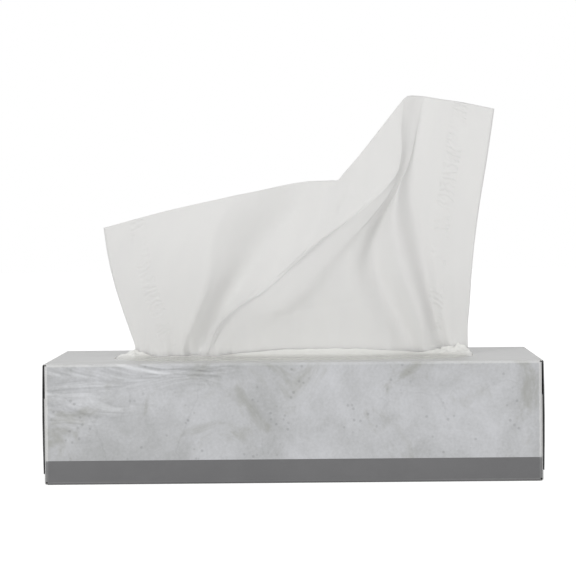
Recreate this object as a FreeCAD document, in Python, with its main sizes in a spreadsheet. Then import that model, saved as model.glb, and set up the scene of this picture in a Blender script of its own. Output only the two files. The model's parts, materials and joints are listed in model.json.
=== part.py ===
import FreeCAD, Part
import os
from math import atan2, pi, sqrt, tau

import Sketcher

# A box of flat facial tissues, in millimetres. The front is towards -Y, the long side
# lies along X, and the origin is on the table under the middle of the box.
# The carton is one folded sheet of board. Its window is closed by a slit plastic film,
# and one sheet of the stack inside is drawn half out through the slit.

Vector = FreeCAD.Vector

SIZES = {
    "box_length": 230.0,       # between the upright folds of the front panel
    "box_depth": 115.0,
    "box_height": 56.0,
    "board": 0.45,             # folding boxboard of a tissue carton
    "fold_radius": 0.9,        # outside of every fold in the board
    "glue_flap": 15.0,         # inside the back panel, up from the base
    "seam_height": 1.4,        # lower edge of the back panel above the table
    "dust_flap": 46.0,
    "bottom_flap": 40.0,
    "top_flap_gap": 5.0,       # table to the free edge of the outer flap
    "flap_relief": 1.2,        # the end flaps are this much narrower on each side
    "flap_bow": 0.35,          # the outer flap stands off the one under it
    "glue": 0.06,
    "window_length": 172.0,
    "window_width": 84.0,
    "window_corner": 30.0,
    "film": 0.15,
    "film_margin": 8.0,        # glued strip round the window
    "lip_root": 2.0,           # the lips start this far under the board
    "lip_rim": 0.5,            # and rise from this far inside the window
    "slit_end": 4.0,           # window's end to slit's end
    "slit_shift": 3.0,         # the slit lies a little to the right
    "lip_gap_front": 3.2,      # slit line to the edge of the raised lips
    "lip_gap_back": 2.8,
    "lip_rise_front": 3.4,
    "lip_rise_back": 3.0,
    "stack_end_gap": 5.55,     # the folded tissues are 218 mm long
    "stack_side_gap": 2.6,     # and 108 mm deep
    "stack_top_gap": 8.6,      # a few have been used
    "stack_folds": 12.0,
    "fold_bulge": 0.9,
    "tissue": 0.4,             # two soft plies with the air between them
    "tissue_rise": 125.0,      # highest point of the drawn sheet above the carton
    "fold_depth": 17.0,        # how far the gathers of the drawn sheet stand forward
    "throat_gap": 2.0,         # the drawn sheet to the slit's end
    "tail_inset": 10.0,        # stack's edge to the end of what lies on it
    "tail_bend": 3.0,
    "tail_gap": 0.2,
}
# How much of its full rise a lip has along the slit, from its left end (-1) to its right.
LIP_SWELL = {-1: 0, -0.88: 0.7, -0.6: 0.25, -0.2: 0.55, 0.15: 1, 0.5: 0.5, 0.88: 0.75, 1: 0}

# Folds of the drawn sheet from its left edge to its right edge. Each has four points that
# pull the paper towards them, from the slit up to the free edge: x along the slit from
# its middle, y towards the back and z above the carton.
DRAWN_THROAT = 160.0
DRAWN_DEPTH = 17.0
DRAWN_RISE = 125.0
SHEET_FOLDS = {
    "left_edge": [(-80, 0, 0), (-85, -1, 20), (-92, -5, 50), (-94.8, -7, 63)],
    "left_panel": [(-70, 0, 0), (-66, -6, 20), (-63, -11, 45), (-61.5, -12, 71)],
    "left_crest": [(-59, 0, 0), (-53, -9, 20), (-40, -16, 50), (-23, -15, 79)],
    "left_valley": [(-50, 0, 0), (-40, -1, 24), (-19, -5, 49), (10, -11, 84)],
    "kink": [(-44, 0, 0), (-30, -7, 21), (-4, -13, 46), (20.5, -12, 85)],
    "ridge": [(-36, 0, 0), (-18, -11, 24), (14, -17, 56), (40, -9, 109)],
    "hollow": [(-16, 0, 0), (3, -8, 24), (33, -9, 66), (49, -6, 120.5)],
    "middle_valley": [(48, 0, 0), (46, -3, 26), (39, -4, 62), (53.5, -5, 125)],
    "middle_crest": [(59, 0, 0), (56, -8, 26), (47, -10, 62), (57.5, -4, 125)],
    "right_valley": [(68, 0, 0), (65, 2, 24), (56.5, 2, 60), (62, -2, 124)],
    "right_panel": [(74, 0, 0), (73, -2, 26), (71, -4, 64), (76, -5, 121.5)],
    "right_edge": [(80, 0, 0), (81, -3, 28), (86, -7, 66), (95.5, -11, 118.5)],
}

doc = FreeCAD.newDocument("TissueBox")
sheet = doc.addObject("Spreadsheet::Sheet", "sizes")
for row, (name, value) in enumerate(SIZES.items(), start=1):
    sheet.set("A%d" % row, name)
    sheet.set("B%d" % row, "%g" % value)
    sheet.setAlias("B%d" % row, name)
doc.recompute()


class Size:
    """A length known both as a formula on the sheet and as a number."""

    def __init__(self, formula, number):
        self.formula = formula
        self.number = number

    def join(self, sign, other, number):
        return Size("(%s %s %s)" % (self.formula, sign, other.formula), number)

    def __add__(self, other):
        other = as_size(other)
        return self.join("+", other, self.number + other.number)

    def __sub__(self, other):
        other = as_size(other)
        return self.join("-", other, self.number - other.number)

    def __mul__(self, other):
        other = as_size(other)
        return self.join("*", other, self.number * other.number)

    def __truediv__(self, other):
        other = as_size(other)
        return self.join("/", other, self.number / other.number)

    def __rmul__(self, other):
        return as_size(other) * self

    def __neg__(self):
        return self * -1


def as_size(value):
    return value if isinstance(value, Size) else Size("%g" % value, float(value))


def size(name):
    return Size("sizes.%s" % name, SIZES[name])


def bind(item, prop, value):
    item.setExpression(prop, value.formula)


# Driving sizes as formulas, and the planes that several pieces share.
half_length = size("box_length") / 2
half_depth = size("box_depth") / 2
top = size("box_height")
board = size("board")
fold = size("fold_radius")
tube_end = half_length - fold
film_top = top - board
stack_top = film_top - size("stack_top_gap")
stack_back = half_depth - 2 * board - size("stack_side_gap")
slit_length = size("window_length") - 2 * size("slit_end")
throat = slit_length - 2 * size("throat_gap")


def new_sketch(body, name, role, height=None):
    """An empty sketch on one of the body's own planes, lifted by height."""
    plane = [item for item in body.Origin.OriginFeatures if item.Role == role][0]
    sketch = body.newObject("Sketcher::SketchObject", name)
    sketch.AttachmentSupport = [(plane, "")]
    sketch.MapMode = "FlatFace"
    if height is not None:
        bind(sketch, "AttachmentOffset.Base.z", height)
    return sketch


def pin(sketch, axis, edge, end, value):
    """Hold one coordinate of a point at a formula of the sheet."""
    rule = Sketcher.Constraint("Distance" + axis, -1, 1, edge, end, value.number)
    bind(sketch, "Constraints[%d]" % sketch.addConstraint(rule), value)


def draw(sketch, corners):
    """Close an outline of lines and arcs. A corner is (x, y), or (x, y, centre x,
    centre y) where the edge to the next corner is an arc about that centre."""
    corners = [[as_size(value) for value in corner] for corner in corners]
    edges = []
    for corner, after in zip(corners, corners[1:] + corners[:1]):
        start = Vector(corner[0].number, corner[1].number, 0)
        end = Vector(after[0].number, after[1].number, 0)
        if len(corner) == 2:
            edges.append((sketch.addGeometry(Part.LineSegment(start, end)), 1, 2))
            continue
        centre = Vector(corner[2].number, corner[3].number, 0)
        angles = [atan2(p.y - centre.y, p.x - centre.x) for p in (start, end)]
        forward = (angles[1] - angles[0]) % tau < pi
        first, last = angles if forward else reversed(angles)
        circle = Part.Circle(centre, Vector(0, 0, 1), (start - centre).Length)
        arc = sketch.addGeometry(Part.ArcOfCircle(circle, first, last))
        edges.append((arc, 1, 2) if forward else (arc, 2, 1))
    for number, (edge, start, end) in enumerate(edges):
        after, after_start, _ = edges[(number + 1) % len(edges)]
        sketch.addConstraint(Sketcher.Constraint("Coincident", edge, end, after, after_start))
        corner = corners[number]
        pin(sketch, "X", edge, start, corner[0])
        pin(sketch, "Y", edge, start, corner[1])
        if len(corner) == 4:
            after = corners[(number + 1) % len(corners)]
            run = abs(after[0].number - corner[0].number)
            rise = abs(after[1].number - corner[1].number)
            if run > rise:
                pin(sketch, "Y", edge, 3, corner[3])
            else:
                pin(sketch, "X", edge, 3, corner[2])


def new_pad(body, name, sketch, length, symmetric):
    pad = body.newObject("PartDesign::Pad", name)
    pad.Profile = sketch
    pad.SideType = "Symmetric" if symmetric else "One side"
    bind(pad, "Length", length)
    sketch.Visibility = False
    doc.recompute()
    return pad


def rounded(half_x, half_y, radius):
    """Corners of a rounded rectangle about the origin, for draw."""
    near_x = half_x - radius
    near_y = half_y - radius
    return [
        (-near_x, -half_y), (near_x, -half_y, near_x, -near_y),
        (half_x, -near_y), (half_x, near_y, near_x, near_y),
        (near_x, half_y), (-near_x, half_y, -near_x, near_y),
        (-half_x, near_y), (-half_x, -near_y, -near_x, -near_y),
    ]


# Carton
def board_tube(body):
    """The four panels folded round, with the glue flap inside the back one."""
    inner = half_depth - board
    lap = inner - board
    glued = half_depth - fold - board
    seam = size("seam_height")
    flap = size("glue_flap")
    side = half_depth - fold
    roof = top - fold
    sketch = new_sketch(body, "tube_section", "YZ_Plane")
    draw(sketch, [
        (-side, 0), (glued, 0, glued, fold), (inner, fold), (inner, seam),
        (half_depth, seam), (half_depth, roof, side, roof), (side, top),
        (-side, top, -side, roof), (-half_depth, roof), (-half_depth, fold, -side, fold),
    ])
    draw(sketch, [
        (-side, board), (glued, board, glued, fold), (lap, fold), (lap, flap),
        (inner, flap), (inner, roof, side, roof), (side, film_top),
        (-side, film_top, -side, roof), (-inner, roof), (-inner, fold, -side, fold),
    ])
    new_pad(body, "tube", sketch, 2 * tube_end, True)


def window(body):
    sketch = new_sketch(body, "window_outline", "XY_Plane", top)
    draw(sketch, rounded(size("window_length") / 2, size("window_width") / 2,
                         size("window_corner")))
    pocket = body.newObject("PartDesign::Pocket", "window")
    pocket.Profile = sketch
    bind(pocket, "Length", 2 * board)
    sketch.Visibility = False
    doc.recompute()


def dust_flaps(body):
    """Folded in from the front and back panels at both ends. Their lower edge is level
    with the back panel's."""
    low = size("seam_height")
    sketch = new_sketch(body, "dust_flap_outline", "XY_Plane", low)
    for end in (-1, 1):
        for side in (-1, 1):
            out = end * half_length
            face = side * half_depth
            centre = (end * tube_end, side * (half_depth - fold))
            tip = side * (half_depth - size("dust_flap"))
            back = end * (half_length - board)
            draw(sketch, [
                (centre[0], face, *centre), (out, centre[1]), (out, tip), (back, tip),
                (back, centre[1], *centre), (centre[0], side * (half_depth - board)),
            ])
    new_pad(body, "dust_flaps", sketch, top - fold - low, False)


def bottom_flaps(body):
    """Folded up over the dust flaps, and glued to them."""
    sketch = new_sketch(body, "bottom_flap_outline", "XZ_Plane")
    for end in (-1, 1):
        out = end * (half_length + board)
        inside = end * half_length
        bend = end * (half_length + board - fold)
        reach = size("bottom_flap")
        draw(sketch, [
            (end * tube_end, 0), (bend, 0, bend, fold), (out, fold), (out, reach),
            (inside, reach), (inside, fold, bend, fold), (bend, board),
            (end * tube_end, board),
        ])
    new_pad(body, "bottom_flaps", sketch, size("box_depth") - 2 * size("flap_relief"), True)


def top_flaps(body):
    """Folded down over the bottom flaps: the outermost layer, a little bowed."""
    sketch = new_sketch(body, "top_flap_outline", "XZ_Plane")
    face = half_length + 2 * board + size("glue")
    tip = size("top_flap_gap")
    roof = top - fold
    bow = size("flap_bow")
    span = roof - tip
    # Radius of an arc over this span that rises by the bow.
    radius = span * span / (8 * bow) + bow / 2
    middle = (roof + tip) / 2
    for end in (-1, 1):
        out = end * face
        inside = end * (face - board)
        bend = end * (face - fold)
        far = end * (face + bow - radius)
        draw(sketch, [
            (end * tube_end, top), (bend, top, bend, roof), (out, roof, far, middle),
            (out, tip), (inside, tip, far, middle), (inside, roof, bend, roof),
            (bend, film_top), (end * tube_end, film_top),
        ])
    new_pad(body, "top_flaps", sketch, size("box_depth") - 2 * size("flap_relief"), True)


def make_carton():
    body = doc.addObject("PartDesign::Body", "Carton")
    body.Label = "carton"
    board_tube(body)
    window(body)
    dust_flaps(body)
    bottom_flaps(body)
    top_flaps(body)
    return body


# Stack of folded sheets
def make_stack():
    """The sheets left in the box. Their folds show as rolls down both long sides."""
    body = doc.addObject("PartDesign::Body", "TissueStack")
    body.Label = "tissue_stack"
    sketch = new_sketch(body, "stack_section", "YZ_Plane")
    count = int(SIZES["stack_folds"])
    layer = (stack_top - board) / size("stack_folds")
    bulge = size("fold_bulge")
    edge = stack_back
    # Radius of a fold that is one layer high and stands out by the bulge.
    radius = layer * layer / (8 * bulge) + bulge / 2
    corners = []
    for number in range(count):
        corners.append((edge - bulge, board + number * layer,
                        edge - radius, board + (number + 0.5) * layer))
    corners.append((edge - bulge, stack_top))
    for number in range(count, 0, -1):
        corners.append((bulge - edge, board + number * layer,
                        radius - edge, board + (number - 0.5) * layer))
    corners.append((bulge - edge, board))
    draw(sketch, corners)
    new_pad(body, "stack", sketch, 2 * (half_length - board - size("stack_end_gap")), True)
    return body


# Slit film
def window_reach(place):
    """Half the window's width where it is cut across at this place along the box."""
    corner = SIZES["window_corner"]
    past = max(0.0, abs(place) - (SIZES["window_length"] / 2 - corner))
    return SIZES["window_width"] / 2 - corner + sqrt(corner * corner - past * past)


def lip_section(place, side, edge, rise):
    """Cross-section of one lip: flat under the board and up to the window's rim, then
    curving up to the slit."""
    base = film_top.number - SIZES["film"]
    under = side * (SIZES["window_width"] / 2 + SIZES["lip_root"])
    rim = side * (window_reach(place) - SIZES["lip_rim"])
    flat = (rim + edge) / 2
    lines = []
    for lift in (base, base + SIZES["film"]):
        curve = Part.BezierCurve()
        curve.setPoles([Vector(place, rim, lift), Vector(place, flat, lift),
                        Vector(place, edge, lift + rise)])
        lines.append([Vector(place, under, lift), Vector(place, rim, lift), curve])
    (root, bend, lower), (top_root, top_bend, upper) = lines
    return Part.Wire([
        Part.makeLine(root, bend), lower.toShape(), Part.makeLine(lower.EndPoint, upper.EndPoint),
        upper.toShape(), Part.makeLine(top_bend, top_root), Part.makeLine(top_root, root),
    ])


def make_film():
    """One glued sheet with a long slit, its lips lifted by the tissue."""
    thick = SIZES["film"]
    half_slit = slit_length.number / 2
    shift = SIZES["slit_shift"]
    rim_x = SIZES["window_length"] / 2 + SIZES["film_margin"]
    rim_y = SIZES["window_width"] / 2 + SIZES["film_margin"]
    root = SIZES["window_width"] / 2 + SIZES["lip_root"]
    base = Vector(0, 0, film_top.number - thick)
    film = Part.makeBox(2 * rim_x, 2 * rim_y, thick, base - Vector(rim_x, rim_y, 0))
    gap = Part.makeBox(2 * half_slit, 2 * root, thick, base + Vector(shift - half_slit, -root, 0))
    film = film.cut(gap)
    lips = {-1: ("lip_gap_front", "lip_rise_front"), 1: ("lip_gap_back", "lip_rise_back")}
    for side, (gap, rise) in lips.items():
        sections = [lip_section(shift + share * half_slit, side, side * SIZES[gap], SIZES[rise] * part)
                    for share, part in LIP_SWELL.items()]
        film = film.fuse(Part.makeLoft(sections, True, True))
    item = doc.addObject("Part::Feature", "WindowFilm")
    item.Label = "window_film"
    item.Shape = film.removeSplitter().Solids[0]
    return item


# Drawn sheet
def standing_sheet():
    """The sheet from the slit to its free edge: ruled strips of paper from each fold to
    the next, each fold a curve pulled towards its four points."""
    wide = throat.number / DRAWN_THROAT
    deep = SIZES["fold_depth"] / DRAWN_DEPTH
    high = SIZES["tissue_rise"] / DRAWN_RISE
    slit = Vector(SIZES["slit_shift"], -SIZES["tissue"] / 2, top.number)
    folds = []
    for points in SHEET_FOLDS.values():
        curve = Part.BezierCurve()
        curve.setPoles([slit + Vector(x * wide, y * deep, z * high) for x, y, z in points])
        folds.append(curve.toShape())
    strips = [Part.makeRuledSurface(left, right).extrude(Vector(0, SIZES["tissue"], 0))
              for left, right in zip(folds, folds[1:])]
    item = doc.addObject("Part::Feature", "StandingSheet")
    item.Shape = strips[0].multiFuse(strips[1:])
    return item


def sheet_tail():
    """The rest of the sheet, down through the slit and back over the stack."""
    body = doc.addObject("PartDesign::Body", "SheetTail")
    sketch = new_sketch(body, "tail_section", "YZ_Plane", size("slit_shift"))
    half = size("tissue") / 2
    low = stack_top + size("tail_gap")
    bend = size("tail_bend")
    turn = half + bend
    centre = (turn, low + 2 * half + bend)
    back = stack_back - size("tail_inset")
    draw(sketch, [
        (-half, top + half), (-half, centre[1], *centre), (turn, low), (back, low),
        (back, low + 2 * half), (turn, low + 2 * half, *centre), (half, centre[1]),
        (half, top + half),
    ])
    new_pad(body, "tail", sketch, throat, True)
    return body


def make_tissue():
    item = doc.addObject("Part::Fuse", "PopupTissue")
    item.Base = standing_sheet()
    item.Tool = sheet_tail()
    item.Label = "popup_tissue"
    doc.recompute()
    return item


pieces = [make_carton(), make_film(), make_stack(), make_tissue()]
doc.recompute()

failed = [item.Name for item in doc.Objects if {"Invalid", "Error"} & set(item.State)]
for piece in pieces:
    shape = piece.Shape
    if shape.isNull() or not shape.isValid():
        failed.append(piece.Label)
    else:
        box = shape.BoundBox
        print("%s: %d solid, %.0f mm3, %.1f x %.1f x %.1f mm" % (
            piece.Label, len(shape.Solids), shape.Volume, box.XLength, box.YLength, box.ZLength))
if failed:
    raise SystemExit("These objects failed: " + ", ".join(failed))

os.makedirs("parts", exist_ok=True)
for piece in pieces:
    piece.Shape.exportStep("parts/%s.step" % piece.Label)
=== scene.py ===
# %% [markdown]
# # A box of facial tissues
# The real thing is a folded carton with a film window, a stack of folded tissues inside,
# and one tissue that has been drawn half out. The carton comes from the measured model and
# only gets its print here. The film, the stack and the drawn tissue are too soft for plain
# solids, so each is modelled below and takes the place of its solid.

# %% Load the measured model
import json
from math import exp, pi, radians

import bmesh
import bpy
from mathutils import Matrix, Vector, noise

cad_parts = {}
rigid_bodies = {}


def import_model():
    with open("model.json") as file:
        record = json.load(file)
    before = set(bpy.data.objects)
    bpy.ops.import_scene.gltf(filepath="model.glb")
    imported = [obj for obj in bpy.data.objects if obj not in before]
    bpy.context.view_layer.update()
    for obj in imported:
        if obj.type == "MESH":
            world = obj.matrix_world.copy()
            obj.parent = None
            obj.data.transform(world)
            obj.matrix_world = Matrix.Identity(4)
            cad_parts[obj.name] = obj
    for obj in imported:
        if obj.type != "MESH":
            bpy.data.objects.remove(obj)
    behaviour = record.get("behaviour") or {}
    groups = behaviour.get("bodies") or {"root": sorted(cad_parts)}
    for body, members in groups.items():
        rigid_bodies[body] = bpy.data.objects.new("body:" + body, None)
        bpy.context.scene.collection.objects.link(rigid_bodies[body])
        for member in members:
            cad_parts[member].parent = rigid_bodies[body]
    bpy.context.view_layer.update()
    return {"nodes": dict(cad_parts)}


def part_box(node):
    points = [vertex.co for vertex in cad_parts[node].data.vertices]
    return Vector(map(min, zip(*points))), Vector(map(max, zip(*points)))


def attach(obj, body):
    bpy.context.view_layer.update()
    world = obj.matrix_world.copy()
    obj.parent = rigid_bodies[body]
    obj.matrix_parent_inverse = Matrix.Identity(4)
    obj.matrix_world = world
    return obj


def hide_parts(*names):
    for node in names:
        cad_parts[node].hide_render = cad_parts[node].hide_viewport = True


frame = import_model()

MM = 0.001
print("Nodes:", sorted(frame["nodes"]))

# %% [markdown]
# The heights and the outer sizes are read from the model, so that the soft pieces fit it.
# Two sizes can't be read from a box and are written down: the radius of the carton's outer
# folds, and its length without the flaps on its ends.

# %% Read the sizes that the pieces share
carton_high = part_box("carton")[1]
film_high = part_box("window_film")[1]
stack_low, stack_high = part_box("tissue_stack")
sheet_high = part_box("popup_tissue")[1]
TOP = carton_high[2]
FOLD_RADIUS = 0.9 * MM
FRONT_LENGTH = 230 * MM
for thing, top in (("Carton", TOP), ("Stack", stack_high[2]), ("Drawn tissue", sheet_high[2])):
    print("%s reaches up to %.1f mm" % (thing, top / MM))

# %% [markdown]
# Blender's operators act on whatever is selected, and the loaded model is still selected.
# So each new piece starts from an empty selection, and each finished piece is handed over
# the same way: it rides on the body of the part and takes its place from its mesh.


# %% Helpers to start and to finish a piece
def deselect():
    bpy.ops.object.select_all(action="DESELECT")


def pick(piece):
    deselect()
    piece.select_set(True)
    bpy.context.view_layer.objects.active = piece


def apply_all(piece):
    """Apply the piece's modifiers in order, and its own place, turn and scale."""
    pick(piece)
    for modifier in list(piece.modifiers):
        bpy.ops.object.modifier_apply(modifier=modifier.name)
    bpy.ops.object.transform_apply(location=True, rotation=True, scale=True)


def hand_over(piece, material, node):
    piece.data.materials.clear()
    piece.data.materials.append(material)
    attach(piece, "root")
    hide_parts(node)
    print(piece.name, "has", len(piece.data.polygons), "faces")


# %% [markdown]
# Shader maths reads best as plain arithmetic. `Value` wraps one socket of a node tree, so
# `1 - mask * 0.5` adds the Math nodes that work it out.


# %% A socket that can be written in sums
class Value:
    def __init__(self, tree, socket):
        self.tree = tree
        self.socket = socket

    def math(self, operation, *others):
        return math_node(self.tree, operation, self, *others)

    def __add__(self, other):
        return self.math("ADD", other)

    def __sub__(self, other):
        return self.math("SUBTRACT", other)

    def __rsub__(self, other):
        return math_node(self.tree, "SUBTRACT", other, self)

    def __mul__(self, other):
        return self.math("MULTIPLY", other)

    def __abs__(self):
        return self.math("ABSOLUTE")

    def above(self, level, soft=0.001):
        """0 below the level and 1 above it, with a soft step this wide between them."""
        node = self.tree.nodes.new("ShaderNodeMapRange")
        node.interpolation_type = "SMOOTHSTEP"
        for entry, term in zip(node.inputs[:3], (self, level, level + soft)):
            connect(self.tree, entry, term)
        return Value(self.tree, node.outputs[0])

    def below(self, level, soft=0.001):
        return 1 - self.above(level - soft, soft)

    __radd__ = __add__
    __rmul__ = __mul__


def connect(tree, entry, term):
    """Link a value to a node's input, or write a plain number or colour into it."""
    if isinstance(term, Value):
        tree.links.new(term.socket, entry)
    elif isinstance(term, tuple) and len(term) == 3 and len(entry.default_value) == 4:
        entry.default_value = (*term, 1)
    else:
        entry.default_value = term


def math_node(tree, operation, *terms):
    node = tree.nodes.new("ShaderNodeMath")
    node.operation = operation
    for entry, term in zip(node.inputs, terms):
        connect(tree, entry, term)
    return Value(tree, node.outputs[0])


def mix_shaders(tree, share, first, second):
    """The first shader, with this share of it replaced by the second."""
    mixer = tree.nodes.new("ShaderNodeMixShader")
    for entry, term in zip(mixer.inputs, (share, first, second)):
        connect(tree, entry, term)
    return Value(tree, mixer.outputs[0])


# %% [markdown]
# `Finish` is one material. `add` makes any node: its settings come first, because they
# decide which sockets it has, and then the values or links of its inputs.


# %% A material that is built by name
class Finish:
    def __init__(self, name):
        self.material = bpy.data.materials.new(name)
        self.material.use_nodes = True
        self.tree = self.material.node_tree
        self.tree.nodes.clear()
        self.place = self.add("TexCoord", output="Object")

    def add(self, kind, settings=(), inputs=(), output=0):
        node = self.tree.nodes.new("ShaderNode" + kind)
        for name, setting in dict(settings).items():
            setattr(node, name, setting)
        for name, term in dict(inputs).items():
            connect(self.tree, node.inputs[name], term)
        return Value(self.tree, node.outputs[output])

    def axes(self, vector):
        """The three coordinates of a vector in millimetres."""
        split = self.tree.nodes.new("ShaderNodeSeparateXYZ")
        connect(self.tree, split.inputs[0], vector)
        return [Value(self.tree, end) * (1 / MM) for end in split.outputs]

    def noise(self, size_mm, detail=4.0, rough=0.55, distortion=0.0, vector=None):
        return self.add("TexNoise", {}, {
            "Vector": vector or self.place, "Scale": 1000 / size_mm, "Detail": detail,
            "Roughness": rough, "Distortion": distortion})

    def moved(self, shift, turn=(0, 0, 0), scale=(1, 1, 1)):
        """The object's coordinates moved to another part of a noise, or stretched into streaks."""
        return self.add("Mapping", {}, {
            "Vector": self.place, "Location": shift, "Rotation": turn, "Scale": scale})

    def mix(self, factor, first, second, blend="MIX"):
        node = self.tree.nodes.new("ShaderNodeMix")
        node.data_type = "RGBA"
        node.blend_type = blend
        for index, term in ((0, factor), (6, first), (7, second)):
            connect(self.tree, node.inputs[index], term)
        return Value(self.tree, node.outputs[2])

    def grey(self, shade):
        """A colour that is this value in all three channels."""
        return self.add("CombineColor", {}, {"Red": shade, "Green": shade, "Blue": shade})

    def bump(self, height, depth_mm, strength=1.0):
        return self.add("Bump", {}, {"Height": height, "Distance": depth_mm * MM,
                                     "Strength": strength})

    def surface(self, shader):
        end = self.tree.nodes.new("ShaderNodeOutputMaterial")
        connect(self.tree, end.inputs["Surface"], shader)
        return self.material


def linear(*shades):
    """A colour read off a screen, 0 to 255, as the linear colour that a shader takes."""
    return tuple(((s / 255 + 0.055) / 1.055) ** 2.4 for s in shades)


# %% [markdown]
# The camera comes first, so that every later piece can be judged from the photograph's
# view. Its place, turn and lens were worked out from the corners of the carton: it stands
# a good metre away, a little above the carton and nearly straight in front.

# %% Camera
CAMERA_PLACE = Vector((15.6, -1257.1, 127.2)) * MM
CAMERA_DOWN, CAMERA_LEFT, CAMERA_ROLL = radians(1.76), radians(0.83), radians(-0.58)
SENSOR, LENS = 36.0, 162.5
aim = Matrix.Rotation(CAMERA_LEFT, 4, "Z") @ Matrix.Rotation(pi / 2 - CAMERA_DOWN, 4, "X")
aim = aim @ Matrix.Rotation(CAMERA_ROLL, 4, "Z")
camera_data = bpy.data.cameras.new("camera")
camera_data.sensor_width = SENSOR
camera_data.lens = LENS
camera = bpy.data.objects.new("camera", camera_data)
camera.matrix_world = Matrix.Translation(CAMERA_PLACE) @ aim
bpy.context.collection.objects.link(camera)
bpy.context.scene.camera = camera
print("Camera %.2f m in front of the box, lens %.1f mm" % (-CAMERA_PLACE.y, LENS))

# %% [markdown]
# The studio is plain: a white floor, a big soft lamp at the upper left in front, a weaker
# one at the right, and an even white sky. Whatever looks at the floor or the sky, directly,
# in gloss or through the film, sees them a little brighter than the lamps make them. So the
# background is white without more light on the object, and the floor keeps its shadow.


# %% What the camera sees of the studio
def paper_white(tree, plain, seen):
    """Lift what is seen directly, in gloss or through clear things, and leave the light."""
    path = tree.nodes.new("ShaderNodeLightPath")
    direct, gloss, through = [Value(tree, path.outputs["Is %s Ray" % name])
                              for name in ("Camera", "Glossy", "Transmission")]
    looking = direct.math("MAXIMUM", gloss).math("MAXIMUM", through)
    return mix_shaders(tree, looking, plain, seen)


# %% Floor
FLOOR_SIZE, FLOOR_DROP = 8, 0.2 * MM
FLOOR_PLAIN, FLOOR_DIM, FLOOR_GLOW = 0.8, 0.3, 0.92

deselect()
bpy.ops.mesh.primitive_plane_add(size=FLOOR_SIZE, location=(0, 0, -FLOOR_DROP))
floor = bpy.context.object
floor.name = "floor"
floor_finish = Finish("floor_white")
matt = floor_finish.add("BsdfDiffuse", {}, {"Color": (FLOOR_PLAIN,) * 3})
dim = floor_finish.add("BsdfDiffuse", {}, {"Color": (FLOOR_DIM,) * 3})
glow = floor_finish.add("Emission", {}, {"Color": (1.0, 1.0, 1.0), "Strength": FLOOR_GLOW})
lifted = floor_finish.add("AddShader", {}, {0: dim, 1: glow})
floor.data.materials.append(floor_finish.surface(paper_white(floor_finish.tree, matt, lifted)))
print("Floor of", FLOOR_SIZE, "m")

# %% Sky
SKY_STRENGTH = 0.59


def white_sky(tree, strength):
    node = tree.nodes.new("ShaderNodeBackground")
    connect(tree, node.inputs["Color"], (1, 1, 1))
    connect(tree, node.inputs["Strength"], strength)
    return Value(tree, node.outputs[0])


world = bpy.data.worlds.new("sky")
bpy.context.scene.world = world
world.use_nodes = True
sky = world.node_tree
sky.nodes.clear()
sky_end = sky.nodes.new("ShaderNodeOutputWorld")
both = paper_white(sky, white_sky(sky, SKY_STRENGTH), white_sky(sky, 1.0))
connect(sky, sky_end.inputs["Surface"], both)
print("Sky of strength", SKY_STRENGTH)


# %% Lamps
LAMP_AIM = Vector((0, 0, 80)) * MM


def lamp(name, place, size, watts):
    """A round soft lamp that is turned to a point just above the box."""
    data = bpy.data.lights.new(name, "AREA")
    data.shape = "DISK"
    data.size = size
    data.energy = watts
    item = bpy.data.objects.new(name, data)
    item.location = place
    way = LAMP_AIM - Vector(place)
    item.rotation_euler = way.to_track_quat("-Z", "Y").to_euler()
    bpy.context.collection.objects.link(item)
    print("Lamp", name, "of", watts, "W")


lamp("key", (-1.2, -1.8, 0.8), 1.0, 18.6)
lamp("fill", (1.4, -1.4, 0.5), 1.3, 6.4)
bpy.context.scene.view_settings.view_transform = "Standard"

# %% [markdown]
# The carton is one sheet of folding boxboard, printed on the outside and bare inside. Its
# print shows pale concrete: soft clouds, darker blotches, pinholes, hair cracks and the
# thin ridges that a trowel leaves. All of it is ink, so it changes the colour and not the
# surface. The outside is told from the inside by how far a point lies from the carton's
# core, a box that is smaller than the carton by one fold radius all round. The shares below
# are shares of that radius, and the flaps are told apart by how far they stand out.


# %% Where a point lies on the carton
OUTER_SHARE, CREASE_SHARE, SIDE_SHARE = 0.62, 2.2, 0.5
INNER_FLAP, OUTER_FLAP = 0.2, 0.75
SOFT = 0.1


def carton_masks(finish):
    """The coordinates, and masks of the outer face, the folds, the ends and the long sides."""
    x, y, z = finish.axes(finish.place)
    halves = [size / MM for size in (FRONT_LENGTH / 2, carton_high[1], TOP / 2)]
    from_middle = (abs(x), abs(y), abs(z - halves[2]))
    radius = FOLD_RADIUS / MM

    def beyond(depth):
        """How far a point lies outside a box this much smaller than the carton."""
        return [(part - (half - depth)).math("MAXIMUM", 0.0)
                for part, half in zip(from_middle, halves)]

    reach = beyond(radius)
    squares = [part * part for part in reach]
    distance = (squares[0] + squares[1] + squares[2]).math("SQRT")
    near = beyond(CREASE_SHARE * radius)
    lengthwise, upright, across = near[1] * near[2], near[0] * near[1], near[0] * near[2]
    return {
        "x": x, "z": z,
        "outer": distance.above(OUTER_SHARE * radius + SOFT, SOFT),
        "crease": upright.math("MAXIMUM", lengthwise.math("MAXIMUM", across)),
        "flap": from_middle[0].above(halves[0] + INNER_FLAP, SOFT),
        "outer_flap": from_middle[0].above(halves[0] + OUTER_FLAP, SOFT),
        "roof": reach[2] - reach[0],
        "side": reach[1].above(SIDE_SHARE * radius, SOFT),
    }


# %% [markdown]
# The concrete is layered as a painter would lay it: a pale ground, clouds at three sizes,
# darker patches with soft edges, then the fine marks on top. A trowel mark is the same
# noise read twice, a fraction of a millimetre apart: where the two readings differ there
# is an edge, light on one side and dark on the other.

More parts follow.
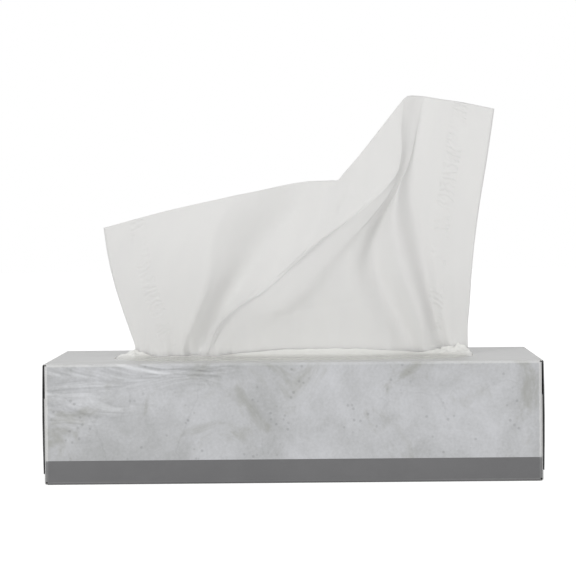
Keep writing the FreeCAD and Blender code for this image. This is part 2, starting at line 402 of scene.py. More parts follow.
# %% Concrete print
CONCRETE_PALE = linear(202, 203, 206)
CONCRETE_DARK = linear(166, 167, 167)
CONCRETE_STAIN = linear(150, 150, 143)
TROWEL_SHIFT = (0.3 * MM, 0, 0.8 * MM)
TROWEL_DEPTH, CRACK_DEPTH, PINHOLE_DEPTH, GRAIN_DEPTH = 2.1, 0.1, 0.2, 0.1
CRACK_CELLS, CRACK_WIDTH, CRACK_BEND = 19.0, 0.014, 0.014
PINHOLE_CELLS, PINHOLE_SIZE = 260.0, 0.24


def trowel_ridges(finish):
    """Long streaks, light on one side and dark on the other."""
    streaks = dict(turn=(0, 0.12, 0.1), scale=(0.4, 0.4, 1.3))
    lit = finish.noise(13, 4, 0.5, 0.9, finish.moved((0, 0, 0), **streaks))
    unlit = finish.noise(13, 4, 0.5, 0.9, finish.moved(TROWEL_SHIFT, **streaks))
    return lit - unlit


def hair_cracks(finish):
    """The borders of large cells, bent by noise."""
    warp = finish.add("TexNoise", {}, {
        "Vector": finish.place, "Scale": 60.0, "Detail": 4.0}, "Color")
    bent = finish.add("VectorMath", {"operation": "MULTIPLY_ADD"},
                      {0: warp, 1: (CRACK_BEND,) * 3, 2: finish.place})
    cell = finish.add("TexVoronoi", {"feature": "DISTANCE_TO_EDGE"},
                      {"Vector": bent, "Scale": CRACK_CELLS}, "Distance")
    return cell.below(CRACK_WIDTH, 0.02)


def pinholes(finish):
    """The middles of small cells, only some of them."""
    hole = finish.add("TexVoronoi", {}, {
        "Vector": finish.place, "Scale": PINHOLE_CELLS}, "Distance")
    some = finish.noise(20, 2, 0.5, 0, finish.moved((0, 0.2, 0.4)))
    return hole.below(PINHOLE_SIZE, 0.14) * some.above(0.5, 0.08)


def concrete(finish, masks):
    """The ground in clouds, stains over it, and the three fine marks on top."""
    cloud = finish.noise(58, 5, 0.6, 0.6)
    small = finish.noise(16, 6, 0.65, 0.8)
    grain = finish.noise(1.3, 3, 0.6)
    shade = cloud * 0.6 + small * 0.28 + grain * 0.12
    colour = finish.mix(shade.above(0.3, 0.4), CONCRETE_DARK, CONCRETE_PALE)
    stain = finish.noise(34, 6, 0.62, 1.4, finish.moved((0.3, 0, 0.7))) + small * 0.25
    colour = finish.mix(stain.above(0.64, 0.18) * 0.6, colour, CONCRETE_STAIN)
    where = finish.noise(44, 2, 0.5, 0.0, finish.moved((0.11, 0, 0)))
    upper_left = (masks["z"] * 0.012 - masks["x"] * 0.0045 + where).above(1.25, 0.2)
    tone = 1 + trowel_ridges(finish) * upper_left * TROWEL_DEPTH
    tone = tone - hair_cracks(finish) * where.above(0.55, 0.05) * CRACK_DEPTH
    tone = tone - pinholes(finish) * PINHOLE_DEPTH + (grain - 0.5) * GRAIN_DEPTH
    return finish.mix(1.0, colour, finish.grey(tone), "MULTIPLY")


# %% [markdown]
# On top of the concrete go the dark band at the foot of the front and the back, the
# charcoal ends, and the wear: at every outer fold the board has cracked the print and
# shows its pale fibres. The same pale colour also serves as a painted highlight, where the
# rounded folds would catch the light, and a thin painted shade runs along the bottom fold
# of the front and the back. The cut edges and the inside are bare board.

# %% Inks, with a painted shade at the foot and a painted highlight on the folds
BAND_HEIGHT = 11.2
SEAM_HEIGHT = 5.2
BAND_GREY, BAND_PALE = linear(104, 104, 105), linear(112, 112, 113)
PLAIN_DARK, PLAIN_PALE = linear(196, 196, 195), linear(204, 204, 204)
# Painted shade for the bottom fold, where it turns under the carton.
FOOT_PAINTED_SHADE = linear(52, 52, 53)
CHARCOAL = linear(38, 38, 40)
FLAP_GREY = linear(112, 112, 112)
# Pale fibres: real scuffs on the ends, and a painted highlight along the folds.
FIBRE_AND_HIGHLIGHT = linear(222, 222, 220)
BARE_BOARD, BARE_FLECK = linear(224, 221, 214), linear(198, 193, 183)


def side_ink(finish, masks):
    """Concrete, plainer away from the two long sides, the dark band at their foot, and a painted
    shade along the bottom fold.
    """
    plain = finish.mix(finish.noise(70, 3) * 0.4, PLAIN_DARK, PLAIN_PALE)
    colour = finish.mix((1 - masks["side"]) * 0.75, concrete(finish, masks), plain)
    cloudy = finish.mix(finish.noise(26, 4, 0.6).above(0.35, 0.3) * 0.5, BAND_GREY, BAND_PALE)
    colour = finish.mix(masks["z"].below(BAND_HEIGHT, 0.12) * masks["side"], colour, cloudy)
    # Painted shade: a thin darker line along the foot of both long sides, where the bottom fold
    # turns under.
    return finish.mix(masks["z"].below(0.9, 0.6) * masks["side"] * 0.7, colour, FOOT_PAINTED_SHADE)


def end_ink(finish, masks):
    """Charcoal with a few scuffs, and grey on the strip of the bottom flap at the foot."""
    covered = masks["z"].above(SEAM_HEIGHT, 0.4).math("MAXIMUM", masks["outer_flap"])
    scuffs = finish.noise(3.1, 5, 0.7).above(0.62, 0.1) * 0.12
    return finish.mix(scuffs, finish.mix(covered, FLAP_GREY, CHARCOAL), FIBRE_AND_HIGHLIGHT)


# %% Wear with painted fold highlights, and the whole board
# Where the wear and the painted fold highlight are weaker in the middle, and how strong they get
# at most.
WEAR_AND_HIGHLIGHT_MIDDLE, WEAR_AND_HIGHLIGHT_MIDDLE_HALF = -6, 45
WEAR_AND_HIGHLIGHT_MOST = 0.85


def fold_wear_and_highlight(finish, masks, fleck):
    """Pale fibres and a painted highlight, ragged along every fold, weaker on the ends, at the
    foot and in the middle.
    """
    ragged = finish.noise(2.4, 4, 0.7)
    wear_and_highlight = (masks["crease"] + (ragged - 0.5) * 1.5).above(1.05, 0.5)
    wear_and_highlight = wear_and_highlight * (0.5 + (fleck - 0.5) * 0.8) * (1 - masks["flap"] * 0.75)
    wear_and_highlight = wear_and_highlight * (0.12 + masks["z"].above(BAND_HEIGHT - 1, 2) * 0.88)
    from_middle = abs(masks["x"] - WEAR_AND_HIGHLIGHT_MIDDLE)
    return wear_and_highlight * (0.3 + from_middle.above(WEAR_AND_HIGHLIGHT_MIDDLE_HALF, 50) * 0.7)


def printed_board():
    """Ink outside, pale fibres with a painted highlight along the folds, and bare board inside."""
    finish = Finish("printed_board")
    masks = carton_masks(finish)
    fleck = finish.noise(0.5, 2, 0.6)
    wear_and_highlight = fold_wear_and_highlight(finish, masks, fleck)
    end = masks["flap"] * masks["roof"].below(0.1, 0.2)
    colour = finish.mix(end, side_ink(finish, masks), end_ink(finish, masks))
    # Painted highlight: the pale fibre colour along the folds also stands in for the light that
    # the rounded folds catch.
    colour = finish.mix(wear_and_highlight.math("MINIMUM", WEAR_AND_HIGHLIGHT_MOST), colour, FIBRE_AND_HIGHLIGHT)
    bare = finish.mix(fleck.above(0.3, 0.4), BARE_FLECK, BARE_BOARD)
    colour = finish.mix(masks["outer"], bare, colour)
    # Varnish over ink, dull bare fibres, and the faint unevenness of board.
    varnish = 0.42 + (finish.noise(7, 3) - 0.5) * 0.12
    rough = varnish + wear_and_highlight * 0.3 + (1 - masks["outer"]) * 0.35
    wave = finish.noise(40, 2, 0.4) * 0.5 + finish.noise(1.1, 3, 0.6) * 0.012
    shader = finish.add("BsdfPrincipled", {}, {
        "Base Color": colour, "Roughness": rough, "Normal": finish.bump(wave, 0.5, 0.35),
        "Specular IOR Level": 0.4})
    return finish.surface(shader)


carton = frame["nodes"]["carton"]
carton_print = printed_board()
panels = [part for part in (carton, *carton.children) if part.type == "MESH"]
for part in panels:
    for entry in part.material_slots:
        entry.material = carton_print
print("Carton:", sum(len(part.data.polygons) for part in panels), "faces printed")


# %% [markdown]
# The drawn tissue is the hardest piece. It hangs in free air, so its shape is all in its
# folds: each line below follows one fold from the slit up to the free edge. Between two
# folds the paper is a smooth panel, and the free edge of the sheet is what the upper ends
# of all the lines make together.

# %% The fold lines of the drawn tissue: x, y and height above the carton, in millimetres
FOLDS = {
    "left edge": [(-77, 0, 0), (-77, -0.5, 4.7), (-79.1, -1, 11.6), (-83, -1.5, 23.3),
                  (-86.4, -3, 35), (-89.6, -5, 50.6), (-91.1, -7, 62.6)],
    "left panel": [(-67, -0.5, 0), (-64, -5, 20), (-61.5, -9, 36), (-60, -11.5, 51),
                   (-58.5, -12, 70.9)],
    "left crest": [(-56, -1, 0), (-47.6, -7.5, 19), (-41.4, -12, 35), (-38.2, -15, 52),
                   (-35, -15.8, 64), (-27, -14.5, 77.6)],
    "left valley": [(-47.5, 1.6, 0), (-36.4, -1.2, 18), (-26.4, -4.2, 34), (-16.6, -6.4, 48),
                    (-7.6, -7.6, 60), (1.6, -9.3, 72), (6, -11, 83.8)],
    "band": [(-44.5, 0, 0), (-32.4, -5, 17), (-20, -9.4, 31), (-4.6, -12.7, 45), (6.6, -14.7, 56),
             (14.8, -15.9, 68), (18.9, -15.8, 84.3)],
    "kink": [(-42.8, -1, 0), (-31.5, -7, 16.5), (-19, -11, 30), (-2.5, -13.9, 42.5),
             (10.8, -15.7, 57), (19.6, -16.3, 71), (22.2, -15.7, 84.6)],
    "under the kink": [(-41.8, -1.5, 0), (-31, -7.3, 17), (-16, -11.7, 31), (-0.5, -14.2, 44.5),
                       (14.2, -16, 60), (21.9, -16.3, 73), (24.4, -15.1, 87.2)],
    "step": [(-41.4, -2, 0), (-32, -7.6, 17.5), (-15, -12.2, 31), (4, -15, 46.5),
             (19.5, -16.3, 63.5), (26.3, -15.6, 78), (29.5, -13.4, 92.9)],
    "ridge": [(-41, -2.5, 0), (-37.5, -5, 10), (-33.5, -7.5, 16.5), (-22.5, -10.8, 25),
              (-11, -13.2, 32), (1.4, -15.2, 43.3), (14, -16.8, 55), (30, -17.3, 67),
              (44.6, -16.4, 80), (50.6, -14.8, 88), (52.3, -13, 96), (52.6, -10.8, 110),
              (53.8, -8.6, 122.9)],
    "under the ridge": [(-34, -2, 0), (-29, -4.9, 8), (-22.6, -8, 15.6), (-13.4, -10.6, 21),
                        (-3.4, -13, 28), (5, -14.3, 37), (16, -15.4, 49),
                        (29.6, -15.8, 61.4), (45.2, -15.1, 77.4), (51.2, -13.2, 87.6),
                        (53, -11.9, 96), (53.6, -9.8, 110), (55.1, -7.8, 123.9)],
    "centre": [(4.5, -3, 0), (8.5, -6.5, 14), (14, -9.2, 26.5), (19, -11.1, 37.5),
               (25.4, -12.6, 49), (34.4, -13.6, 61), (46.2, -13.8, 77), (51.6, -12, 88),
               (53.8, -10.5, 96), (54.9, -8.6, 110), (56.6, -7, 124.5)],
    "flank": [(45, -3.5, 0), (38.6, -6, 16), (32.4, -8, 30), (30.6, -9.4, 42), (34.6, -10.2, 54.5),
              (41.4, -11.4, 67), (47, -12.7, 76.8), (54.4, -9.5, 96), (56.3, -7.4, 111),
              (58.2, -6.2, 124.7)],
    "middle valley": [(58, 2.6, 0), (50.2, 0.2, 17), (42.4, -1.6, 33), (38.8, -3.6, 46),
                      (40, -5.8, 58), (44.8, -9, 69), (49.2, -11.2, 77.6),
                      (55.4, -8.4, 96), (58, -6.2, 111), (60, -5.2, 124.6)],
    "middle crest": [(65, -2, 0), (60.8, -6.3, 19), (55, -8.8, 36), (51.2, -10.4, 51),
                     (49.4, -12.3, 65.5), (51, -12.4, 79), (57, -7.2, 95), (60.2, -5, 111),
                     (62.6, -4.2, 124.4)],
    "right valley": [(73, 3, 0), (68.2, 1, 18), (64.6, -0.6, 34), (61.4, -2.4, 51),
                     (58.5, -4.6, 66), (57, -5.8, 81), (59, -5, 96), (62.8, -4.1, 111),
                     (65.2, -3.8, 124.1)],
    "right slope": [(76.5, -0.5, 0), (72.2, -2.2, 18), (69.2, -3.6, 36), (67.2, -4.8, 55),
                    (66.2, -5.6, 72), (66.8, -5.7, 90), (69.2, -5.7, 106), (71.5, -5.6, 122.9)],
    "right panel": [(80, -1, 0), (78.8, -2.6, 19), (77.8, -3.6, 40), (77.4, -4.8, 63),
                    (78.2, -5.8, 85), (80, -6.4, 104), (81.5, -7, 121.3)],
    "right edge": [(84.2, 0, 0), (84, -1.5, 12), (85, -3, 24), (86.5, -5, 45),
                   (89.4, -7, 68.4), (93.8, -9.5, 95), (97.2, -11, 117.8)],
}
# How close the neighbours of a crease are, as a share of the way to the next line.
CREASES = {"left crest": 0.2, "ridge": 0.36}
print(len(FOLDS), "fold lines,", len(CREASES), "of them creased")

# %% [markdown]
# Two steps turn the lines into a sheet. First each line becomes a smooth curve, cut into
# the same number of equal steps, so that a row of the sheet joins equal shares of all the
# folds. Then each row becomes a smooth curve across the folds. Both steps use the same
# cubic: it passes through its points, and its slope at a point is that of the parabola
# through the point and its two neighbours.


# %% Smooth curves through points
def running_length(points):
    """The length of the line through the points, up to each of them."""
    total = [0.0]
    for first, second in zip(points, points[1:]):
        total.append(total[-1] + (Vector(second) - Vector(first)).length)
    return total


def smooth(knots, points, places):
    """Points at the given places of a smooth curve that passes each point at its knot."""
    points = [Vector(point) for point in points]
    gaps = [b - a for a, b in zip(knots, knots[1:])]
    steps = [(b - a) / gap for a, b, gap in zip(points, points[1:], gaps)]
    slopes = [steps[0]]
    for before, after, gap, next_gap in zip(steps, steps[1:], gaps, gaps[1:]):
        slopes.append((before * next_gap + after * gap) / (gap + next_gap))
    slopes.append(steps[-1])
    found, index = [], 0
    for place in places:
        while index < len(gaps) - 1 and place > knots[index + 1]:
            index += 1
        gap = gaps[index]
        t = (place - knots[index]) / gap
        found.append(points[index] * (1 + 2 * t) * (1 - t) ** 2
                     + slopes[index] * gap * t * (1 - t) ** 2
                     + points[index + 1] * t * t * (3 - 2 * t)
                     - slopes[index + 1] * gap * t * t * (1 - t))
    return found


def spread(first, last, count):
    """This many numbers from first to last, evenly apart."""
    return [first + (last - first) * i / (count - 1) for i in range(count)]


FINE_STEPS = 400


def even_steps(points, count):
    """The same smooth curve, cut into equal steps."""
    knots = running_length(points)
    dense = smooth(knots, points, spread(0, knots[-1], FINE_STEPS))
    length = running_length(dense)
    places = spread(0, length[-1], count)
    return smooth(length, dense, places)


def steps_between(value, low, high):
    """0 below low, 1 above high, and an easy slope between them."""
    t = min(max((value - low) / (high - low), 0), 1)
    return t * t * (3 - 2 * t)


# %% [markdown]
# Where the sheet squeezes through the slit it has more paper than room, so small pleats
# stand in it there and die out a few centimetres up. The rest of the sheet is still inside
# the carton: it drops onto the stack, lies back over it and is folded under once, as the
# next tissue in the stack had held it. The lines above are a little too deep, so only a
# share of their depth is used.

# %% How the paper moves away from its smooth panels
PLEAT_REACH, SLOW_PLEATS, QUICK_PLEATS = 8, 2.4, 0.8
SWELL, CRUMPLE = 0.55, 0.2
MARK_ACROSS, MARK_UPRIGHT = 0.16, 0.14


def drift(*place):
    """Smooth noise between about -1 and 1."""
    return noise.noise(Vector(place))


def pleat(x, height):
    """How far a pleat pushes the paper back or forward at this place."""
    fade = exp(-max(height, 0) / PLEAT_REACH)
    slow = drift(x / 7.5, height / 45, 3.1)
    quick = drift(x / 2.6, height / 30, 8.4)
    return (slow * SLOW_PLEATS + quick * QUICK_PLEATS) * fade


def unevenness(point):
    """Soft paper is never quite flat: low swells, fine crumples and two old fold marks."""
    x, z = point.x, point.z
    swell = drift(x / 19, z / 26, 1.7) * SWELL
    crumple = drift(x / 6.5, z / 11, 6.2) * CRUMPLE
    across = exp(-((z - 21 - x * 0.17) / 1.7) ** 2) * steps_between(x, -24, -12)
    across *= 1 - steps_between(x, 36, 46)
    upright = exp(-((x - 16) / 1.3) ** 2) * steps_between(z, 30, 36)
    upright *= 1 - steps_between(z, 44, 52)
    return swell + crumple + MARK_ACROSS * across + MARK_UPRIGHT * upright


# %% The hidden half of the sheet
ROWS, TAIL_ROWS, COLUMNS = 125, 42, 230
STACK_TOP = (stack_high[2] - TOP) / MM
TAIL_TOP, TAIL_UNDER = STACK_TOP + 0.45, STACK_TOP + 0.13
TAIL_START, TAIL_FOLD, TAIL_END = 24, 44, 4
TAIL_MIDDLE, TAIL_WIDE, TAIL_SPREADS = 3, 206, (0.04, 0.42)


def drop(x, y, wide):
    """The path of the hidden half of the sheet, from the slit to its folded end."""
    flat_x = TAIL_MIDDLE + (wide - 0.5) * TAIL_WIDE
    path = [(x, y, 0), (x, y + 0.2, -2.5), (x, y + 1.2, -6), (x, y + 4, TAIL_TOP + 0.5),
            (x, y + 8, TAIL_TOP + 0.05), (x, TAIL_START, TAIL_TOP),
            (x, TAIL_FOLD - 0.5, TAIL_TOP), (x, TAIL_FOLD, (TAIL_TOP + TAIL_UNDER) / 2),
            (x, TAIL_FOLD - 0.5, TAIL_UNDER), (x, TAIL_START, TAIL_UNDER),
            (x, TAIL_END, TAIL_UNDER)]
    points = even_steps(path, TAIL_ROWS)
    for step, point in enumerate(points):
        # The paper spreads out to its flat width on the first part of the way.
        point.x = x + (flat_x - x) * steps_between(step / TAIL_ROWS, *TAIL_SPREADS)
    return points


# %% The sheet as a grid of points
DEPTH_SHARE = 0.8


def with_creases(curves):
    """The curves in order, with a close neighbour on both sides of each sharp crease."""
    names = list(curves)
    found = []
    for index, name in enumerate(names):
        here = curves[name]
        share = CREASES.get(name)
        if share:
            before, after = curves[names[index - 1]], curves[names[index + 1]]
            left = [a.lerp(b, share) for a, b in zip(here, before)]
            right = [a.lerp(b, share) for a, b in zip(here, after)]
            found += [left, here, right]
        else:
            found.append(here)
    return found


def drawn_sheet():
    """Rows of points in millimetres, from the free edge down and on to the folded end."""
    curves = with_creases({name: even_steps(points, ROWS) for name, points in FOLDS.items()})
    gaps = [sum((a - b).length for a, b in zip(first, second)) / ROWS
            for first, second in zip(curves, curves[1:])]
    knots = [sum(gaps[:i]) for i in range(len(curves))]
    places = spread(0, knots[-1], COLUMNS)
    rows = [smooth(knots, [curve[row] for curve in curves], places) for row in range(ROWS)]
    for row in rows:
        for point in row:
            point.y = point.y * DEPTH_SHARE + pleat(point.x, point.z) + unevenness(point)
    rows.reverse()
    foot = rows[-1]
    tails = [drop(point.x, point.y, i / (COLUMNS - 1)) for i, point in enumerate(foot)]
    rows += [[tail[step] for tail in tails] for step in range(1, TAIL_ROWS)]
    return rows


sheet_rows = drawn_sheet()
print("Sheet of", len(sheet_rows), "rows and", COLUMNS, "columns")

# %% [markdown]
# A grid of points becomes a mesh with two flat maps: how far a point lies from the right
# or the left edge of the sheet, and how far below the free edge, measured along the paper
# in units of 100 mm. The material needs them to place the pressed marks and the grain of
# the paper.


# %% A mesh from rows of points
UV_MM = 100


def grid_mesh(name, rows):
    """A mesh through rows of points, whose heights count from the top of the carton."""
    mesh = bmesh.new()
    flat = mesh.loops.layers.uv.new("paper")
    other = mesh.loops.layers.uv.new("from the left")
    grid = [[mesh.verts.new((p.x * MM, p.y * MM, TOP + p.z * MM)) for p in row] for row in rows]
    across = [running_length(row[::-1])[::-1] for row in rows]
    down = [running_length([row[i] for row in rows]) for i in range(len(rows[0]))]
    for i in range(len(rows) - 1):
        for j in range(len(rows[0]) - 1):
            corners = ((i, j), (i, j + 1), (i + 1, j + 1), (i + 1, j))
            face = mesh.faces.new([grid[a][b] for a, b in corners])
            face.smooth = True
            for loop, (a, b) in zip(face.loops, corners):
                loop[flat].uv = (across[a][b] / UV_MM, down[b][a] / UV_MM)
                loop[other].uv = ((across[a][0] - across[a][b]) / UV_MM, down[b][a] / UV_MM)
    data = bpy.data.meshes.new(name)
    mesh.to_mesh(data)
    mesh.free()
    piece = bpy.data.objects.new(name, data)
    bpy.context.collection.objects.link(piece)
    return piece


def thicken(piece, thick_mm):
    """Give the sheet a thickness, half of it on each side."""
    solid = piece.modifiers.new("thickness", "SOLIDIFY")
    solid.thickness = thick_mm * MM
    solid.offset = 0
    apply_all(piece)


# %% The drawn tissue
TISSUE_THICK = 0.16

deselect()
tissue = grid_mesh("drawn_tissue", sheet_rows)
thicken(tissue, TISSUE_THICK)
print("Drawn tissue:", len(tissue.data.vertices), "points")

# %% [markdown]
# Tissue paper is matt, a little warm, and thin enough to glow when light falls on its
# back. Its grain is crepe: fine ridges across the way it was made, with long soft strips
# of lighter and heavier paper. Near both side edges the plies are pressed together in a
# column of short dashes, deeper at the right than at the left.


# %% Tissue paper
MARKS_RIGHT, MARKS_LEFT = 0.42, 0.22
GLOW_SHARE = 0.36


def pressed_marks(finish, which, strength):
    """A column of short slanting dashes, 12 to 21 mm in from one edge of the sheet."""
    flat = finish.add("UVMap", {"uv_map": which})
    split = finish.add("SeparateXYZ", {}, {"Vector": flat})
    edge = split * UV_MM
    low = Value(finish.tree, split.socket.node.outputs[1]) * UV_MM
    bend = finish.add("TexNoise", {}, {"Vector": flat, "Scale": 16.0, "Detail": 2.0})
    patch = finish.add("TexNoise", {}, {"Vector": flat, "Scale": 9.0, "Detail": 3.0})
    phase = low * 0.33 + edge * 0.05 + bend * 2.2
    dash = phase.math("PINGPONG", 0.5) * 2
    column = edge.above(11.5 + bend * 2, 1.0) * edge.below(20 + bend * 2, 1.5)
    return column * dash.above(0.35, 0.4) * patch.above(0.42, 0.14) * strength


def tissue_paper(name, marks=True):
    """With marks, placed by the flat maps of the sheet; without, by the object's axes."""
    finish = Finish(name)
    flat = finish.add("UVMap", {"uv_map": "paper"}) if marks else finish.place
    scale = UV_MM if marks else 1 / MM
    fibre = finish.add("Mapping", {}, {"Vector": flat, "Scale": (1.0, 3.2, 1.0)})
    crepe = finish.add("TexNoise", {}, {"Vector": fibre, "Scale": scale / 1.1, "Detail": 4.0,
                                        "Roughness": 0.65})
    wide = finish.add("Mapping", {}, {"Vector": flat, "Scale": (1.0, 0.25, 1.0)})
    cloudy = finish.add("TexNoise", {}, {"Vector": wide, "Scale": scale / 9, "Detail": 3.0})
    height = crepe * 0.05 + cloudy * 0.25
    if marks:
        height = (height - pressed_marks(finish, "paper", MARKS_RIGHT)
                  - pressed_marks(finish, "from the left", MARKS_LEFT))
    bump = finish.bump(height, 1.0, 0.5)
    colour = finish.mix(cloudy, linear(233, 233, 233), linear(238, 238, 237))
    paper = finish.add("BsdfPrincipled", {}, {
        "Base Color": colour, "Roughness": 0.92, "Normal": bump, "Specular IOR Level": 0.15})
    through = finish.add("BsdfTranslucent", {}, {"Color": linear(241, 240, 238), "Normal": bump})
    return finish.surface(mix_shaders(finish.tree, GLOW_SHARE, paper, through))


hand_over(tissue, tissue_paper("drawn_tissue_paper"), "popup_tissue")

# %% [markdown]
# The film covers the window from below, glued to the board all round, and is slit along
# its middle. The tissue has pushed both edges of the slit up into lips, with a tent at the
# left end and crumples at the right end. Two lines give the lips: how high the film stands
# at each x, in millimetres. Beyond the two ends of the slit the film is whole, so there
# both lips take the same height.

# %% How high the lips of the slit stand
FRONT_LIP = [(-86.3, 0), (-85, 1.2), (-83, 2.1), (-80, 3.3), (-76.5, 4.2), (-73, 2.6),
             (-70, 1.3), (-58, 0.9), (-46, 0.8), (-36, 0.9), (-28, 1.6), (-12, 3.0), (6, 3.7),
             (20, 3.9), (36, 3.4), (50, 2.4), (60, 1.6), (66, 2.4), (71, 3.6), (75, 4.7),
             (79.5, 5.2), (83, 4.2), (85, 1.9), (86.3, 0)]
BACK_LIP = [(-86.3, 0), (-85, 1.2), (-82, 2.2), (-76, 3.2), (-70, 2.0), (-50, 2.3),
            (-30, 3.4), (0, 3.8), (30, 3.6), (60, 2.8), (75, 3.2), (82, 2.6), (85, 1.3),
            (86.3, 0)]
SLIT_STARTS, SLIT_ENDS = (-80.5, -76.5), (82.5, 86.5)


def slit_open(x):
    """1 along the slit, easing to 0 at its two ends."""
    return steps_between(x, *SLIT_STARTS) * (1 - steps_between(x, *SLIT_ENDS))


def lip_height(x, side):
    """How high the front (-1) or the back (1) edge of the slit stands at x."""
    heights = []
    for profile in (FRONT_LIP, BACK_LIP):
        inside = profile[0][0] < x < profile[-1][0]
        knots = [place for place, rise in profile]
        points = [(rise, 0, 0) for place, rise in profile]
        heights.append(max(smooth(knots, points, [x])[0].x, 0) if inside else 0)
    middle = sum(heights) / 2
    return middle + (heights[side > 0] - middle) * slit_open(x)


# %% [markdown]
# The lips follow the tissue: at each x the film stops just short of the paper. Away from
# the slit it sinks back to its rest under the board, with wrinkles that grow with its
# height and with finer crumples at the two ends. It is flat where it is glued to the board
# and sags a little inside that. Its points crowd together toward the slit.


# %% Where the lips end at the paper
LIP_GAP, LIP_SAFETY, LIP_SMOOTHING = 0.34, 0.02, 6
NEAR_X, NEAR_Z = 2.4, 1.5
ROWS_AT_SLIT = slice(ROWS - 11, ROWS + 5)


def paper_side(x, height, side):
    """How far forward (-1) or back (1) the tissue stands near x and up to this height."""
    near = [p.y for row in sheet_rows[ROWS_AT_SLIT] for p in row
            if abs(p.x - x) < NEAR_X and -NEAR_Z < p.z < height + NEAR_Z]
    return max([side * y for y in near], default=-LIP_GAP)


def lip_edge(places, side):
    """How far forward or back one edge of the slit stands at each x."""
    clear = [paper_side(x, lip_height(x, side), side) + LIP_GAP for x in places]
    for _ in range(LIP_SMOOTHING):
        middle = [(a + 2 * b + c) / 4 for a, b, c in zip(clear, clear[1:], clear[2:])]
        clear = [clear[0], *middle, clear[-1]]
    return [side * (y + LIP_SAFETY) * slit_open(x) for x, y in zip(places, clear)]


# %% The film's two halves
FILM_REST, FILM_SAG = -0.53, 0.3
LIP_REACH = 6.2
FILM_ROWS, FILM_COLUMNS, CROWDING = 260, 60, 1.6
CRUMPLES_LEFT, CRUMPLES_RIGHT = (-74, -66), (62, 70)
GLUE_ENDS = (9, 16)


def wrinkles(x, away, strand, ends):
    """Slow and quick wrinkles that run away from the slit, and crumples at its ends."""
    total = drift(x / 4.6, away / 16, strand) * 0.8
    total += drift(x / 9, away / 30, strand + 4) * 0.9
    total += drift(x / 2.3, away / 4.5, 4) * 1.7 * ends
    return total + drift(x / 1.4, away / 2.4, 7) * 0.8 * ends


def film_half(side):
    """One half of the film, in rows from its glued edge (the front or the back) to the slit."""
    half_x, half_y = film_high[0] / MM, film_high[1] / MM
    places = spread(-half_x, half_x, FILM_ROWS)
    rows = []
    for x, edge in zip(places, lip_edge(places, side)):
        rise = lip_height(x, side)
        # Both halves read the same noise where the slit is closed, so they join there.
        strand = 5 + side * slit_open(x)
        ends = 1 - steps_between(x, *CRUMPLES_LEFT) + steps_between(x, *CRUMPLES_RIGHT)
        row = []
        for t in spread(0, 1, FILM_COLUMNS):
            y = side * half_y + (edge - side * half_y) * (1 - (1 - t) ** CROWDING)
            away = abs(edge - y)
            fade = exp(-away / LIP_REACH)
            free = steps_between(half_y - abs(y), *GLUE_ENDS)
            lift = 0.1 + rise * (0.06 + 0.12 * ends)
            z = FILM_REST + rise * fade + wrinkles(x, away, strand, ends) * lift * fade
            z += free * FILM_SAG * drift(x / 10, y / 26, 2.2)
            row.append(Vector((x, y, max(z, FILM_REST - FILM_SAG * free))))
        rows.append(row)
    return rows


# %% The film with its slit
FILM_THICK, SEAL_REACH = 0.04, 0.03


def seal(piece):
    """Join the two halves of the film wherever they touch."""
    mesh = bmesh.new()
    mesh.from_mesh(piece.data)
    bmesh.ops.remove_doubles(mesh, verts=mesh.verts, dist=SEAL_REACH * MM)
    mesh.to_mesh(piece.data)
    mesh.free()


film = grid_mesh("film_front", film_half(-1))
back_half = grid_mesh("film_back", film_half(1))
pick(film)
back_half.select_set(True)
bpy.ops.object.join()
film.name = "film"
seal(film)
thicken(film, FILM_THICK)
print("Film:", len(film.data.vertices), "points")

# %% [markdown]
# The film is clear where it lies flat and milky where it is pushed up and crumpled, with a
# gloss that shows every crumple. Light is let through without bending, since a film this
# thin shifts nothing.


# %% Clear film
SKIN_SHARE, CLEAR_SHARE, CLEAR_LOST, SHINE_SHARE = 0.85, 0.5, 0.42, 0.4


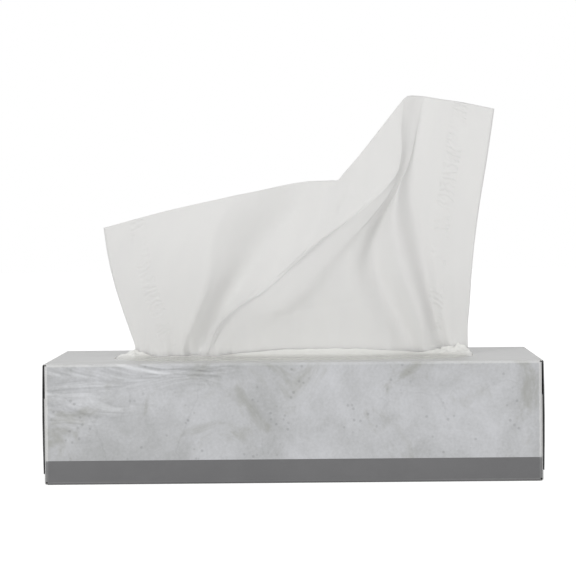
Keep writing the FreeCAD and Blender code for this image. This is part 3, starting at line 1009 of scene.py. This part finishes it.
def clear_film():
    """Milk under a skin, then clear where the film lies flat, then shine at grazing angles."""
    finish = Finish("clear_film")
    ripple = finish.noise(7, 3, 0.5, 0.6) * 0.5 + finish.noise(2.4, 2) * 0.12
    bump = finish.bump(ripple, 0.5, 0.6)
    milk = finish.add("BsdfTranslucent", {}, {"Color": linear(250, 251, 246)})
    skin = finish.add("BsdfPrincipled", {}, {
        "Base Color": linear(250, 250, 247), "Roughness": 0.25, "Normal": bump})
    clear = finish.add("BsdfTransparent", {}, {"Color": (1.0, 1.0, 1.0)})
    shine = finish.add("BsdfGlossy", {}, {
        "Color": (0.99, 0.99, 0.97), "Roughness": 0.14, "Normal": bump})
    outside = 1 - finish.add("NewGeometry", output="Backfacing")
    rim = finish.add("Fresnel", {}, {"IOR": 1.42, "Normal": bump}) * outside * SHINE_SHARE
    crumpled = finish.axes(finish.place)[2].above(TOP / MM + FILM_REST + 0.2, 1.6)
    film_body = mix_shaders(finish.tree, SKIN_SHARE, milk, skin)
    film_body = mix_shaders(finish.tree, CLEAR_SHARE - crumpled * CLEAR_LOST, film_body, clear)
    return finish.surface(mix_shaders(finish.tree, rim, film_body, shine))


hand_over(film, clear_film(), "window_film")

# %% [markdown]
# The stack is nearly hidden, but it shows through the film and through the gap of the
# window. Each of its layers is a folded tissue: a flat slab with round edges that lies a
# little out of line with the one below.

# %% The stack of folded tissues
LAYERS = 26
LAYER_INSET, LAYER_SHIFT = 1.6 * MM, 0.9 * MM
LAYER_FILL, EDGE_ROUNDING = 0.99, 0.46


def folded_layer(index, low, thick):
    """One folded tissue, a little out of line and a little narrower than the whole stack."""
    shift = noise.noise_vector(Vector((index * 1.7, 4.2, 0.3))) * LAYER_SHIFT
    middle = (shift.x * 0.6, shift.y * 0.5, low + thick / 2)
    bpy.ops.mesh.primitive_cube_add(size=1, location=middle)
    layer = bpy.context.object
    long_side = stack_high[0] * 2 - LAYER_INSET
    short_side = stack_high[1] * 2 - LAYER_INSET - abs(shift.z)
    layer.scale = (long_side, short_side, thick * LAYER_FILL)
    pick(layer)
    bpy.ops.object.transform_apply(location=True, rotation=True, scale=True)
    bevel = layer.modifiers.new("soft edge", "BEVEL")
    bevel.width = thick * EDGE_ROUNDING
    bevel.segments = 4
    apply_all(layer)
    return layer


deselect()
thick = (stack_high[2] - stack_low[2]) / LAYERS
layers = [folded_layer(i, stack_low[2] + i * thick, thick) for i in range(LAYERS)]
pick(layers[0])
for layer in layers[1:]:
    layer.select_set(True)
bpy.ops.object.join()
stack = layers[0]
stack.name = "tissue_layers"
for face in stack.data.polygons:
    face.use_smooth = True
hand_over(stack, tissue_paper("folded_tissue_paper", marks=False), "tissue_stack")
